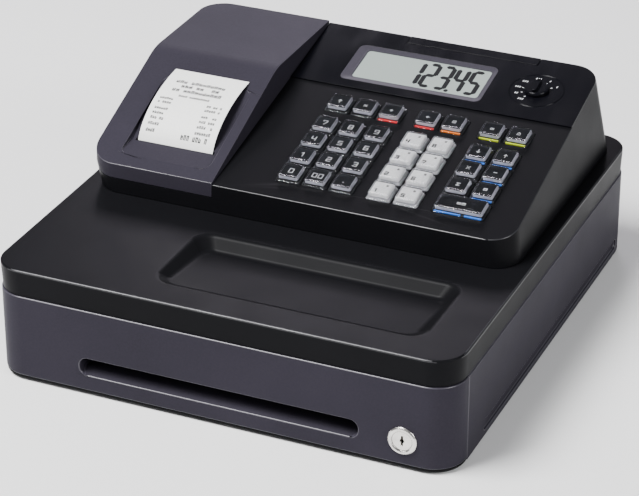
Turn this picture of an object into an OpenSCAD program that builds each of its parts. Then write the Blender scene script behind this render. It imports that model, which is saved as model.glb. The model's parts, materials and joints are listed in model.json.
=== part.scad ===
// Compact electronic cash register standing on its own cash drawer.
// The origin is the middle of the footprint, on the surface the register stands on.
// The front faces -Y, the operator's right hand is +X and up is +Z.  Millimetres.

/* [Cabinet] */
// Width of the register
body_w = 330; // [328:1:334]
// Depth of the register
body_d = 352; // [350:1:356]
// Height of the flat deck above the table
deck_z = 83.6; // [83:0.2:84.4]
// Height of the deck's dark skirt
skirt_h = 19.2; // [18.8:0.2:19.6]
// Radius of the upright corners
corner_r = 22; // [20:1:24]
// Wall thickness of the cabinet
wall = 3; // [2.8:0.1:3.2]

/* [Console] */
// Tilt of the keyboard, in degrees
tilt = 11.1; // [10.8:0.1:11.4]
// Height of the tilted surface halfway along the register
slope_z = 113.4; // [113:0.2:114]
// Thickness of the console's plastic
skin = 2.4; // [2.2:0.1:2.6]
// Width of the printer side, from the console's left wall
printer_w = 96.5; // [96:0.5:97]
// Height of the printer cover's flat top
cover_top = 146.4; // [146:0.2:147]

/* [Keys] */
// Distance between the centres of neighbouring keys
key_pitch = 19.5; // [19.4:0.1:19.7]
// Width of a key at the keyboard's surface
key_w = 17.6; // [17.2:0.1:17.8]
// How far a key goes down
key_travel = 3; // [2:0.5:3]

/* [Drawer] */
// Height of the drawer box
box_h = 48; // [44:1:49]
// Rows of notes, side by side
note_bays = 4; // [4:1:5]
// Diameter of the paper roll
roll_d = 52; // [40:1:54]

/* [Hidden] */
$fn = 64;
foot_h = 1.6;
pan_t = 1.9;
pan_top = foot_h + pan_t;
half_w = body_w / 2;
half_d = body_d / 2;
skirt_z = deck_z - skirt_h;
seam_y = -half_d + 24.4;
seam_gap = 0.4;

// Console outline at three heights: [z, left, right, front, back]
CONSOLE = [
    [deck_z, -half_w + 10.7, half_w - 9.6, -half_d + 126.7, half_d - 10.4],
    [deck_z + 17, -half_w + 6.6, half_w - 11.8, -half_d + 127.4, half_d - 13.7],
    [deck_z + 67, -half_w + 6, half_w - 18.1, -half_d + 129.5, half_d - 23.6],
];
console_r = 19;
back_v = 156.8;
bay_x = -half_w + 6 + printer_w;
lip_w = -9;

// Keyboard: columns across, rows from the display down to the operator
COL_X = [-14.5, -14.5 + key_pitch, -14.5 + 2 * key_pitch, 51.9, 51.9 + key_pitch, 99.3, 99.3 + key_pitch];
ROW_V = [62.7, 35.7, 35.7 - key_pitch, 35.7 - 2 * key_pitch, 35.7 - 3 * key_pitch];
key_r = 1.6;
key_gap = 0.4;
key_up = 4.6;
flange_w = key_pitch - 0.7;

// Every key: [node, column, row, number of columns it spans]
KEYS = [
    ["key_feed", 0, 0, 1], ["key_multiply", 1, 0, 1], ["key_clear", 2, 0, 1],
    ["key_error_correct", 3, 0, 1], ["key_price_lookup", 4, 0, 1],
    ["key_clock", 5, 0, 1], ["key_tax_shift", 6, 0, 1],
    ["key_7", 0, 1, 1], ["key_8", 1, 1, 1], ["key_9", 2, 1, 1],
    ["key_dept_4", 3, 1, 1], ["key_dept_8", 4, 1, 1],
    ["key_received", 5, 1, 1], ["key_paid_out", 6, 1, 1],
    ["key_4", 0, 2, 1], ["key_5", 1, 2, 1], ["key_6", 2, 2, 1],
    ["key_dept_3", 3, 2, 1], ["key_dept_7", 4, 2, 1],
    ["key_percent", 5, 2, 1], ["key_minus", 6, 2, 1],
    ["key_1", 0, 3, 1], ["key_2", 1, 3, 1], ["key_3", 2, 3, 1],
    ["key_dept_2", 3, 3, 1], ["key_dept_6", 4, 3, 1],
    ["key_subtotal", 5, 3, 1], ["key_charge", 6, 3, 1],
    ["key_0", 0, 4, 1], ["key_00", 1, 4, 1], ["key_point", 2, 4, 1],
    ["key_dept_1", 3, 4, 1], ["key_dept_5", 4, 4, 1],
    ["key_cash", 5, 4, 2],
];

// Display and dial, in the tilted frame
panel_v = 84.4;
panel_t = 1.2;
LCD_FRAME = [-29, 78, 93, 137];
LCD_GLASS = [-21.8, 74.6, 98, 133];
DIAL = [112, 118.2];
dial_r = 8.7;
dial_ring_r = 19.7;
dial_shaft_r = 3;

// Customer display that slides up out of the back of the console
RISER = [2, 102, 147.9, 48];
riser_gap = 0.2;

// Printer
cover_gap = 0.3;
COVER_FOLD = [60, cover_top];
cover_front_z = 104.8;
cover_angle = atan((cover_top - cover_front_z) / (COVER_FOLD.x - CONSOLE[0][3]));
COVER_HINGE = [150.5, 137.5];
hinge_pin_r = 2;
hinge_ear_r = 3.3;
// The cover's left hinge: outer end of its boss, then the ear's two faces
HINGE_X = [-146, -138, -135.5];
paper_x = -104.8;
paper_w = 57.5;
SCOOP = [[-38.5, 0], [-20.5, 4], [-17.5, 4], [36, 0]];
scoop_x = [-138.5, -70.5];
ROLL = [75, 113.8];
PLATEN = [-13, 103];
platen_r = 5;
platen_shaft_r = 2.5;
run_fit = 0.06;

// Drawer
box_z = 10;
box_t = 1.6;
BOX = [-150, 150, -146, 130];
PULL = [-100, 99.5];
LOCK = [130, 21.5];
lock_body_r = 8.2;
plug_r = 6.9;
CLIP = [118, 50];
clip_rod_r = 2.5;
LATCH = [155, 30];
GLAND = [-25, -42];
// Screw bosses inside the cabinet's corners
BOSSES = [for (x = [-1, 1], y = [-140, 158]) [x * (half_w - 8), y]];
bay_y = [-62, 126];
till_z = box_z + box_t + 0.2;
till_top = box_z + box_h - 1.6;
rib_t = 2;
till_w = BOX[1] - BOX[0] - 2 * box_t - 1;
bay_w = (till_w - rib_t * (note_bays + 1)) / note_bays;

// ---- Shared shapes ----

// Rectangle with round corners, centred
module rounded(w, d, r) {
    square([w - 2 * r, d], center = true);
    square([w, d - 2 * r], center = true);
    for (x = [-1, 1], y = [-1, 1])
        translate([x * (w / 2 - r), y * (d / 2 - r)]) circle(r);
}

// Box between two corners
module block(a, b) {
    translate(a) cube(b - a);
}

// Places children in the tilted frame: X across, Y up the slope, Z out of the surface
module on_slope() {
    translate([0, 0, slope_z]) rotate([tilt, 0, 0]) children();
}

// Extrudes a side profile, drawn in (Y, Z), from x0 to x1
module along_x(x0, x1) {
    translate([x0, 0, 0]) rotate([90, 0, 90]) linear_extrude(x1 - x0) children();
}

// Cylinder along X between x0 and x1, centred on a point in (Y, Z)
module rod_x(at, r, x0, x1) {
    translate([x0, at.x, at.y]) rotate([0, 90, 0]) cylinder(r = r, h = x1 - x0);
}

// Cylinder along Y between y0 and y1, centred on a point in (X, Z)
module rod_y(at, r, y0, y1) {
    translate([at.x, y0, at.y]) rotate([-90, 0, 0]) cylinder(r = r, h = y1 - y0);
}

// ---- Cabinet ----

module base_pan() color("#19191c") {
    inner = wall + 0.3;
    rib_xs = [-130, -60, 60, 130];
    difference() {
        union() {
            translate([0, 0, foot_h]) linear_extrude(pan_t) {
                intersection() {
                    rounded(body_w - 1, body_d - 1, corner_r - 0.5);
                    translate([-half_w, -half_d]) square([body_w, seam_y + half_d]);
                }
                rounded(body_w - 2 * inner, body_d - 2 * inner, corner_r - inner);
            }
            for (x = rib_xs)
                block([x - 1.5, -145, pan_top - 0.1], [x + 1.5, 168, box_z - 0.3]);
            // Keeper that the lock's cam drops behind
            block([LOCK.x - 8, -155, pan_top - 0.1], [LOCK.x + 8, -151.2, 8.8]);
        }
        for (p = BOSSES)
            translate([p.x, p.y, 0]) cylinder(r = 2, h = 6);
    }
}

module feet() color("#101011") {
    for (x = [-1, 1], y = [-1, 1])
        translate([x * (half_w - 32), y * (half_d - 34), 0]) rotate_extrude()
            polygon([[0, 0], [8, 0], [9, 0.6], [9, foot_h], [0, foot_h]]);
}

module screws() color("#8c8c90") {
    for (p = BOSSES) translate([p.x, p.y, 0]) difference() {
        rotate_extrude() polygon([
            [0, 0.4], [3, 0.4], [3.6, 0.8], [3.6, foot_h], [1.42, foot_h], [1.42, 12.4], [0, 14]]);
        for (a = [0, 90]) rotate(a) block([-2, -0.35, 0], [2, 0.35, 1]);
    }
}

// Side wall profile of the shell: U-shaped in plan, open where the drawer front closes it
module shell_ring(grow, in) {
    difference() {
        rounded(body_w - 2 * grow, body_d - 2 * grow, corner_r - grow);
        rounded(body_w - 2 * in, body_d - 2 * in, corner_r - in);
        translate([-body_w, -body_d]) square([2 * body_w, body_d + seam_y]);
    }
}

// Long round-ended finger groove along the foot of each side
module grip_groove() {
    groove_r = 4;
    groove_z = 9.7;
    reach = [-118, 149];
    x = [half_w - 1.8, half_w + 1];
    for (s = [0, 1]) mirror([s, 0, 0]) {
        for (y = reach) rod_x([y, groove_z], groove_r, x[0], x[1]);
        block([x[0], reach[0], groove_z - groove_r], [x[1], reach[1], groove_z + groove_r]);
    }
}

module cabinet_shell() color("#46444d") {
    step = 1.1;
    difference() {
        union() {
            translate([0, 0, foot_h]) linear_extrude(skirt_z - 0.5 - foot_h) shell_ring(0, wall);
            translate([0, 0, skirt_z - 4]) linear_extrude(4) shell_ring(step, wall);
            for (p = BOSSES)
                translate([p.x, p.y, pan_top + 0.2]) cylinder(r = 5.2, h = skirt_z - pan_top - 4);
            // Thicker foot behind each finger groove
            for (s = [0, 1]) mirror([s, 0, 0])
                block([half_w - wall - 1, -128, pan_top + 0.2], [half_w - 1, 148, 17]);
        }
        grip_groove();
        for (p = BOSSES) translate([p.x, p.y, 0]) cylinder(r = 1.5, h = 18);
        // Cooling slots at the back
        for (i = [-4:4])
            block([i * 12 - 60, half_d - wall - 1, 30], [i * 12 - 57, half_d + 1, 46]);
    }
}

// Tray moulded into the deck: deepest at the back, running out towards the operator
module deck_tray(grow, top) {
    centre = [38, -114.8];
    size = [191, 73];
    depth = 10;
    front_depth = 1.6;
    r = 12;
    floor_r = r - 2;
    translate(centre) hull() {
        for (x = [-1, 1], y = [-1, 1])
            translate([x * (size.x / 2 - r), y * (size.y / 2 - r), deck_z])
                cylinder(r = r + grow, h = top, $fn = 48);
        for (x = [-1, 1]) {
            translate([x * (size.x / 2 - r - 3), size.y / 2 - r - 4, deck_z - depth - grow])
                cylinder(r = floor_r + grow, h = 1, $fn = 48);
            translate([x * (size.x / 2 - r - 3), -size.y / 2 + r + 3, deck_z - front_depth - grow])
                cylinder(r = floor_r + grow, h = 1, $fn = 48);
        }
    }
}

module top_deck() color("#242427") {
    t = 2.6;
    difference() {
        union() {
            difference() {
                translate([0, 0, skirt_z]) linear_extrude(skirt_h) rounded(body_w, body_d, corner_r);
                translate([0, 0, skirt_z - 1]) linear_extrude(skirt_h - t + 1)
                    rounded(body_w - 2 * t, body_d - 2 * t, corner_r - t);
            }
            intersection() {
                deck_tray(2.2, 1);
                block([-half_w + 1, -half_d + 1, skirt_z], [half_w - 1, half_d - 1, deck_z]);
            }
        }
        deck_tray(0, 5);
        // Opening for the drawer's wiring, under the console
        block([24, 69, deck_z - 5], [36, 81, deck_z + 1]);
    }
}

// ---- Console ----

// Drafted console body: one convex form through the three outlines
module console_form(inset) {
    r = console_r;
    hull()
        for (c = CONSOLE, x = [c[1] + r, c[2] - r], y = [c[3] + r, c[4] - r])
            translate([x, y, c[0] - (c == CONSOLE[0] ? inset : 0)])
                cylinder(r = r - inset, h = 0.01);
}

// Everything under the keyboard's surface, lowered by a distance
module under_slope(drop) {
    on_slope() block([-200, -150, -150], [200, 250, -drop]);
}

module key_openings() {
    hole = key_w + 2 * key_gap;
    on_slope()
        for (k = KEYS) {
            w = hole + (k[3] - 1) * key_pitch;
            translate([COL_X[k[1]] + (k[3] - 1) * key_pitch / 2, ROW_V[k[2]], -skin - 1])
                linear_extrude(skin + 3) rounded(w, hole, key_r + 0.3);
        }
}

// Hinge ear with its stub axle, and the second axle on the bay's own wall
module cover_axles() {
    ear = [HINGE_X[1], HINGE_X[2]];
    rod_x(COVER_HINGE, hinge_ear_r, ear[0], ear[1]);
    block([ear[0], COVER_HINGE.x - hinge_ear_r, deck_z + 0.1],
          [ear[1], COVER_HINGE.x + hinge_ear_r, COVER_HINGE.y]);
    rod_x(COVER_HINGE, hinge_pin_r, ear[0] - 5.5, ear[1]);
    rod_x(COVER_HINGE, hinge_pin_r, bay_x - 4.4, bay_x + 1);
}

module console_case() color("#1d1d20") {
    bay_wall = 2;
    difference() {
        union() {
            difference() {
                intersection() {
                    console_form(0);
                    under_slope(0);
                }
                intersection() {
                    console_form(skin);
                    under_slope(skin);
                }
                // Printer bay, open upwards
                on_slope() block([-200, -150, lip_w - cover_gap], [bay_x, 250, 60]);
                // Room for the cover's back edge to turn
                rod_x(COVER_HINGE, 6.6, -200, bay_x + 1);
            }
            // Wall between the printer bay and the keyboard
            intersection() {
                block([bay_x + 0.4, CONSOLE[0][3] + 1, deck_z], [bay_x + 0.4 + bay_wall, half_d, 200]);
                console_form(1);
                under_slope(0.5);
            }
            // Pocket that the customer display slides in
            intersection() {
                on_slope() block([RISER[0] - 3, RISER[2] - 2.6, -RISER[3] - 3],
                                 [RISER[1] + 3, back_v - 0.5, -1]);
                console_form(0.5);
            }
            intersection() {
                cover_axles();
                console_form(0.6);
            }
        }
        key_openings();
        on_slope() {
            block([LCD_GLASS[0] - 1.5, LCD_GLASS[2] - 1.5, -skin - 1],
                  [LCD_GLASS[1] + 1.5, LCD_GLASS[3] + 1.5, 1]);
            translate([DIAL.x, DIAL.y, -skin - 1]) cylinder(r = dial_shaft_r + run_fit, h = skin + 2);
            block([RISER[0], RISER[2], -RISER[3]], [RISER[1], back_v + 10, 1]);
            translate([GLAND.x, back_v - 8, GLAND.y]) rotate([-90, 0, 0]) cylinder(r = 6, h = 20);
        }
    }
}

module display_panel() color("#131318") {
    ledge = 0.3;
    notch_v = RISER[2] - riser_gap;
    difference() {
        intersection() {
            console_form(0.15);
            on_slope() block([bay_x + 0.2, panel_v, 0], [200, back_v + 5, panel_t]);
        }
        on_slope() {
            // Window that shows the figures, in a shallow recess for its frame
            translate([0, 0, -1]) linear_extrude(5) window(LCD_GLASS, 3);
            translate([0, 0, ledge]) linear_extrude(5) window(LCD_FRAME, 5);
            // Engraved ring round the dial
            translate([DIAL.x, DIAL.y, panel_t - 0.4]) difference() {
                cylinder(r = dial_ring_r, h = 1);
                translate([0, 0, -1]) cylinder(r = dial_ring_r - 0.7, h = 3);
            }
            translate([DIAL.x, DIAL.y, -1]) cylinder(r = dial_shaft_r + run_fit, h = 5);
            block([RISER[0] - riser_gap, notch_v, -1], [RISER[1] + riser_gap, back_v + 10, 5]);
        }
    }
}

// Rounded outline of [x0, x1, v0, v1]
module window(w, r) {
    translate([(w[0] + w[1]) / 2, (w[2] + w[3]) / 2]) rounded(w[1] - w[0], w[3] - w[2], r);
}

module lcd_module() color("#b8c4be") on_slope() {
    m = LCD_GLASS;
    // Cell that carries the figures, and the carrier board behind it
    block([m[0] - 1, m[2] - 1, -3.4], [m[1] + 1, m[3] + 1, -0.2]);
    block([m[0] - 1, m[2] - 1, -7], [m[1] + 1, m[3] + 1, -5.4]);
    for (x = [m[0] + 3, m[1] - 3], v = [m[2] + 3, m[3] - 3])
        translate([x, v, -5.4]) cylinder(r = 1.5, h = 2);
}

module main_board() color("#1f5b3a") on_slope() {
    top = -14;
    block([-50, -38, top - 1.6], [146, 80, top]);
    // Processor, buzzer, capacitors and the socket for the drawer's wiring
    block([20, 10, top - 3.4], [38, 28, top - 1.6]);
    block([60, -10, top - 3.2], [76, 0, top - 1.6]);
    for (x = [-30, -18, 104, 118])
        translate([x, 40, top - 10]) cylinder(r = 4, h = 8.4);
    block([30, 60, top - 9], [52, 68, top - 1.6]);
}

module key_mat() color("#5d6064") on_slope() {
    top = -6 - key_travel - 0.5;
    block([-30, -38, top - 1.5], [138, 78, top]);
}

// Plate with round corners, from z0 up to z1, for the layers of a key
module key_plate(size, z0, z1) {
    translate([0, 0, z0]) linear_extrude(z1 - z0) rounded(size.x, size.y, key_r, $fn = 16);
}

// Clear-topped key: straight skirt, tapered cap, flange under the case and a stem
module key_cap(k) {
    extra = [(k[3] - 1) * key_pitch, 0];
    skirt = extra + [key_w, key_w];
    flange = extra + [flange_w, flange_w];
    cap = extra + [14.2, 13.6];
    on_slope() translate([COL_X[k[1]] + extra.x / 2, ROW_V[k[2]], 0]) {
        hull() {
            key_plate(skirt, -skin, 0.6);
            translate([0, 0.2, 0]) key_plate(cap, key_up - 0.4, key_up);
        }
        key_plate(skirt, -skin - 0.6, -skin + 0.4);
        key_plate(flange, -skin - 1.8, -skin - 0.3);
        translate([0, 0, -6]) linear_extrude(4) square([6 + extra.x, 6], center = true);
    }
}

module mode_dial() color("#16161a") on_slope() translate([DIAL.x, DIAL.y, 0]) {
    difference() {
        union() {
            translate([0, 0, panel_t + 0.3]) rotate_extrude()
                polygon([[0, 0], [dial_r, 0], [dial_r, 2], [dial_r - 0.9, 3], [0, 3]]);
            // Finger bar across the top
            translate([0, 0, panel_t + 3]) linear_extrude(2.6) rounded(3.2, 2 * dial_r - 3, 1.5);
        }
        // Pointer line
        block([-0.4, dial_r - 4.6, panel_t + 5.1], [0.4, dial_r - 1, panel_t + 7]);
    }
    translate([0, 0, -7]) cylinder(r = dial_shaft_r, h = panel_t + 8);
    translate([0, 0, -7]) cylinder(r = 5, h = 3.5);
}

module rear_display() color("#16161b") {
    g = riser_gap;
    difference() {
        intersection() {
            on_slope()
                block([RISER[0] + g, RISER[2] + g, -RISER[3] + g], [RISER[1] - g, back_v + 5, panel_t]);
            console_form(0.15);
        }
        // Window for the figures the customer reads
        on_slope() block([RISER[0] + 12, back_v - 1.6, -24], [RISER[1] - 12, back_v + 5, -6]);
    }
}

module cable_gland() color("#141416") on_slope() translate([GLAND.x, back_v, GLAND.y])
    rotate([-90, 0, 0]) rotate_extrude() polygon([
        [3.6, -5.6], [8, -5.6], [8, -skin - 0.6], [5.9, -skin - 0.6], [5.9, 0.2],
        [8, 0.2], [8, 1.8], [6.4, 2.6], [5.2, 8], [3.6, 8]]);

// ---- Printer ----

// Side profile of the cover: sloping front, rounded fold, flat top, lowered by a distance
module cover_profile(drop) {
    fold_r = 45;
    steps = 10;
    a = cover_angle;
    fold = COVER_FOLD - [0, drop];
    front = fold - 130 * [cos(a), sin(a)];
    centre = fold + [fold_r * tan(a / 2), -fold_r];
    arc = [for (i = [0:steps]) centre + fold_r * [-sin(a * (1 - i / steps)), cos(a * (1 - i / steps))]];
    polygon(concat([[front.x, 60], front], arc, [[half_d, fold.y], [half_d, 60]]));
}

module cover_solid(inset, drop) {
    intersection() {
        console_form(inset);
        along_x(-half_w, bay_x - cover_gap - inset) cover_profile(drop);
        on_slope() block([-200, -150, lip_w - inset * 2], [0, 250, 80]);
    }
}

// Height of the cover's sloping front at a distance from the front
function front_z(y) = COVER_FOLD.y - (COVER_FOLD.x - y) * tan(cover_angle);

// Side profile of the hollow that the paper leaves through, made deeper by a distance
module scoop_profile(grow) {
    polygon([
        [SCOOP[0].x - grow, front_z(SCOOP[0].x - grow) + 0.01],
        for (p = SCOOP) [p.x, front_z(p.x) - p.y - grow],
        [SCOOP[3].x + grow, front_z(SCOOP[3].x + grow) + 0.01],
        [SCOOP[3].x, front_z(SCOOP[3].x) + 20], [SCOOP[0].x, front_z(SCOOP[0].x) + 20]]);
}

// Solid of the hollow, with its corners rounded in plan
module scoop(grow) {
    r = 7;
    intersection() {
        along_x(scoop_x[0] - grow, scoop_x[1] + grow) scoop_profile(grow);
        translate([(scoop_x[0] + scoop_x[1]) / 2, (SCOOP[0].x + SCOOP[3].x) / 2, 60]) linear_extrude(120)
            rounded(scoop_x[1] - scoop_x[0] + 2 * grow, SCOOP[3].x - SCOOP[0].x + 2 * grow, r + grow);
    }
}

module printer_cover() color("#4a4852") {
    t = 2.2;
    slot = [SCOOP[1].x, SCOOP[2].x];
    ear_room = [HINGE_X[1] - 0.4, HINGE_X[2] + 0.4];
    difference() {
        union() {
            difference() {
                cover_solid(0, 0);
                cover_solid(t, t / cos(cover_angle));
            }
            intersection() {
                scoop(t);
                cover_solid(1, 0);
            }
            intersection() {
                cover_solid(0.5, 0.5);
                rod_x(COVER_HINGE, 4.4, HINGE_X[0], ear_room[0]);
            }
        }
        scoop(0);
        // Slot the paper leaves through
        block([paper_x - paper_w / 2 - 1.5, slot[0], 80], [paper_x + paper_w / 2 + 1.5, slot[1], 130]);
        // Bores and clearances round the hinge
        rod_x(COVER_HINGE, hinge_pin_r + run_fit, HINGE_X[1] - 5.8, ear_room[1]);
        rod_x(COVER_HINGE, hinge_pin_r + run_fit, bay_x - 8, bay_x + 1);
        rod_x(COVER_HINGE, hinge_ear_r + 0.4, ear_room[0], ear_room[1]);
        block([ear_room[0], COVER_HINGE.x - 8, 100], [ear_room[1], half_d, COVER_HINGE.y + 3.7]);
    }
}

// Side view of the paper's path out of the slot, arching over and back to the cover
module paper_path(t) {
    steps = 16;
    a = [SCOOP[2].x - 1.4, front_z(SCOOP[2].x) - 5.6];
    b = [-13, front_z(-13) + 8];
    c = [14, front_z(14) + 9.5];
    d = [42.4, front_z(42.4) + 0.6];
    function at(u) =
        pow(1 - u, 3) * a + 3 * u * pow(1 - u, 2) * b + 3 * u * u * (1 - u) * c + pow(u, 3) * d;
    upper = [for (i = [0:steps]) at(i / steps)];
    lower = [for (i = [steps:-1:0]) at(i / steps) + t * [0.5, -0.86]];
    polygon(concat(upper, lower));
}

module receipt() color("#f4f3f0") {
    along_x(paper_x - paper_w / 2, paper_x + paper_w / 2) paper_path(0.25);
}

module printer_frame() color("#33343a") {
    side = 2;
    xs = [paper_x - paper_w / 2 - 0.8, paper_x + paper_w / 2 + 0.8];
    floor_z = deck_z + 0.1;
    difference() {
        union() {
            // Cradle the roll drops into
            block([xs[0], 42, floor_z], [xs[1], 108, 104]);
            // Side plates that carry the platen
            for (x = [xs[0] - side, xs[1]])
                along_x(x, x + side) polygon([
                    [-30, floor_z], [108, floor_z], [108, 104], [40, 104], [0, PLATEN.y + 1],
                    [-5, PLATEN.y + 4.5], [-21, PLATEN.y + 4.5], [-30, 98]]);
            // Print head on its heat sink, in front of the platen
            block([xs[0] - 0.1, -29, floor_z], [xs[1] + 0.1, -19.2, 104]);
            block([xs[0] - 0.1, -30, floor_z], [xs[1] + 0.1, 43, floor_z + 2]);
        }
        rod_x(ROLL, roll_d / 2 + 1, xs[0], xs[1]);
        rod_x(PLATEN, platen_shaft_r + run_fit, xs[0] - 10, xs[1] + 10);
    }
    // Stepper motor that feeds the paper
    rod_x([14, 94], 9, xs[0] - side - 14, xs[0] - side + 0.2);
}

module platen_roller() color("#202022") {
    reach = paper_w / 2;
    rod_x(PLATEN, platen_r, paper_x - reach, paper_x + reach);
    rod_x(PLATEN, platen_shaft_r, paper_x - reach - 9, paper_x + reach + 4.4);
    // Feed gear on the shaft's end
    translate([paper_x - reach - 8.6, PLATEN.x, PLATEN.y]) rotate([0, 90, 0]) {
        teeth = 18;
        cylinder(r = 5.4, h = 3);
        for (i = [0:teeth - 1]) rotate(i * 360 / teeth)
            linear_extrude(3) polygon([[5, -0.7], [6.5, -0.3], [6.5, 0.3], [5, 0.7]]);
    }
}

module paper_roll() color("#f0efec") {
    reach = paper_w / 2 - 0.2;
    difference() {
        rod_x(ROLL, roll_d / 2, paper_x - reach, paper_x + reach);
        rod_x(ROLL, 6, paper_x - reach - 1, paper_x + reach + 1);
    }
}

// ---- Drawer ----

module drawer_tray() color("#2a2a2d") {
    catch_w = 12;
    difference() {
        block([BOX[0], BOX[2], box_z], [BOX[1], BOX[3], box_z + box_h]);
        block([BOX[0] + box_t, BOX[2] + box_t, box_z + box_t], [BOX[1] - box_t, BOX[3] - box_t, 100]);
    }
    // Catch that the latch drops behind
    block([-catch_w / 2, BOX[3] - 0.5, 24], [catch_w / 2, BOX[3] + 8, 26]);
    block([-catch_w / 2, BOX[3] + 6, 24], [catch_w / 2, BOX[3] + 8, 31]);
}

// Opening with round corners in a face towards the operator, from y0 back to y1
module front_opening(x, z, r, y0, y1) {
    translate([(x[0] + x[1]) / 2, y1, (z[0] + z[1]) / 2]) rotate([90, 0, 0])
        linear_extrude(y1 - y0) rounded(x[1] - x[0], z[1] - z[0], r);
}

module drawer_front() color("#46444d") {
    t = 3.2;
    top = skirt_z - seam_gap;
    back = BOX[2];
    pull_r = 6;
    pull_z = [15, 28];
    pull_in = half_d - 17.5;
    lip_z = pull_z[0] + 3.4;
    hook_z = 41;
    hook_y = -half_d + t + 0.4;
    difference() {
        union() {
            translate([0, 0, pan_top + seam_gap]) linear_extrude(top - pan_top - seam_gap) intersection() {
                difference() {
                    rounded(body_w, body_d, corner_r);
                    rounded(body_w - 2 * t, body_d - 2 * t, corner_r - t);
                }
                translate([-half_w, -half_d - 1]) square([body_w, half_d + 1 + seam_y - seam_gap]);
            }
            // Shelf that closes the top
            block([-146, -half_d + 1, 55], [146, back, 57.6]);
            // Housing behind the finger pull
            block([PULL[0] - 4, -half_d + 1, 11.4], [PULL[1] + 4, -pull_in + 2.4, 44]);
            // Two webs that carry the front on the drawer box
            for (x = [-146, 143]) block([x, -half_d + 1, 12], [x + 3, back, 56]);
        }
        // Round-ended mouth, then a wider hollow that fingers hook up into, over a sloping lip
        intersection() {
            union() {
                front_opening(PULL, pull_z, pull_r, -half_d - 1, hook_y);
                front_opening(PULL, [pull_z[0], hook_z], pull_r, hook_y - 0.01, -pull_in);
            }
            along_x(PULL[0] - 1, PULL[1] + 1) polygon([
                [-half_d - 1, pull_z[0]], [-half_d, pull_z[0]], [-half_d + 8, lip_z],
                [half_d, lip_z], [half_d, hook_z + 1], [-half_d - 1, hook_z + 1]]);
        }
        rod_y(LOCK, lock_body_r + 0.1, -half_d - 1, -half_d + 10);
    }
}

module till_insert() color("#303034") {
    w = till_w;
    y0 = BOX[2] + box_t + 0.5;
    y1 = BOX[3] - box_t - 0.5;
    cup_d = 36.5;
    cup_z = 24;
    difference() {
        block([-w / 2, y0, till_z], [w / 2, y1, till_top]);
        for (i = [0:note_bays - 1]) {
            x0 = -w / 2 + rib_t + i * (bay_w + rib_t);
            x1 = x0 + bay_w;
            block([x0, bay_y[0], till_z + 2], [x1, bay_y[1], 100]);
            for (row = [0, 1]) {
                y = y0 + rib_t + row * (cup_d + rib_t);
                scoop_r = cup_d / 2;
                rod_x([y + scoop_r, cup_z + scoop_r], scoop_r, x0, x1);
                block([x0, y, cup_z + scoop_r], [x1, y + cup_d, 100]);
            }
        }
    }
    rod_x(CLIP, clip_rod_r, -w / 2 + 0.5, w / 2 - 0.5);
}

// Sprung arm that holds the notes down, one in each bay
module bill_clips() color("#9a9aa0") {
    hub_r = 4.4;
    arm_w = 11;
    pad = [38, till_z + 2 + 0.8];
    thick = 1.5;
    for (i = [0:note_bays - 1]) {
        x = -till_w / 2 + rib_t + i * (bay_w + rib_t) + bay_w / 2;
        difference() {
            union() {
                rod_x(CLIP, hub_r, x - 9, x + 9);
                along_x(x - arm_w / 2, x + arm_w / 2) polygon([
                    [CLIP.x - 2, CLIP.y - 4], pad, [pad.x - 12, pad.y], [pad.x - 16, pad.y + 4],
                    [pad.x - 16, pad.y + 4 + thick], [pad.x - 12, pad.y + thick],
                    [pad.x, pad.y + thick], [CLIP.x - 3, CLIP.y - 4 + thick * 1.6]]);
                block([x - 18, pad.x - 10, pad.y], [x + 18, pad.x, pad.y + thick]);
            }
            rod_x(CLIP, clip_rod_r + run_fit, x - 10, x + 10);
        }
    }
}

module lock_barrel() color("#c9c7c4") {
    y0 = -half_d;
    difference() {
        translate([LOCK.x, y0, LOCK.y]) rotate([90, 0, 0]) rotate_extrude() polygon([
            [0, -24], [lock_body_r, -24], [lock_body_r, 0], [10, 0], [10, 0.5], [8.9, 1.5],
            [7.8, 1.5], [plug_r + 0.2, 0.9], [0, 0.9]]);
        rod_y(LOCK, plug_r + run_fit, y0 - 5, y0 + 30);
    }
}

module lock_plug() color("#b9b6b0") {
    y0 = -half_d;
    difference() {
        union() {
            rod_y(LOCK, plug_r, y0 - 0.6, y0 + 26);
            // Cam that drops behind the keeper
            block([LOCK.x - 14.5, y0 + 26, LOCK.y - 4], [LOCK.x + 4, y0 + 28, LOCK.y + 4]);
        }
        // Keyhole
        block([LOCK.x - 0.7, y0 - 2, LOCK.y - 3.6], [LOCK.x + 0.7, y0 + 9, LOCK.y + 3.6]);
        rod_y(LOCK, 1.5, y0 - 2, y0 + 9);
    }
}

// ---- Latch ----

module latch_solenoid() color("#77787c") {
    plate = 2;
    difference() {
        union() {
            block([-13, 146, pan_top + 0.05], [13, 171, pan_top + plate]);
            for (x = [-12, 10]) block([x, 148, pan_top + 1], [x + 2, 162, 36]);
            rod_x(LATCH, 2, -11, 11);
        }
        for (x = [-8, 8]) translate([x, 168, 0]) cylinder(r = 1.6, h = 10);
    }
    // Coil with its plunger under the lever's tail
    translate([0, 163.4, pan_top + 1]) {
        cylinder(r = 7, h = 15);
        cylinder(r = 2.5, h = 20.5);
    }
}

module latch_lever() color("#a8a9ad") {
    difference() {
        along_x(-6, 6) union() {
            translate(LATCH) circle(5);
            polygon([
                [131.5, 31.6], [134.3, 31.6], [134.3, 35], [150.6, 33], [152, 26.5], [166, 27.5],
                [166, 30.5], [158, 33], [155, 35], [150, 38], [131.5, 38]]);
        }
        rod_x(LATCH, 2 + run_fit, -7, 7);
    }
}

// ---- The register ----

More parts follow.
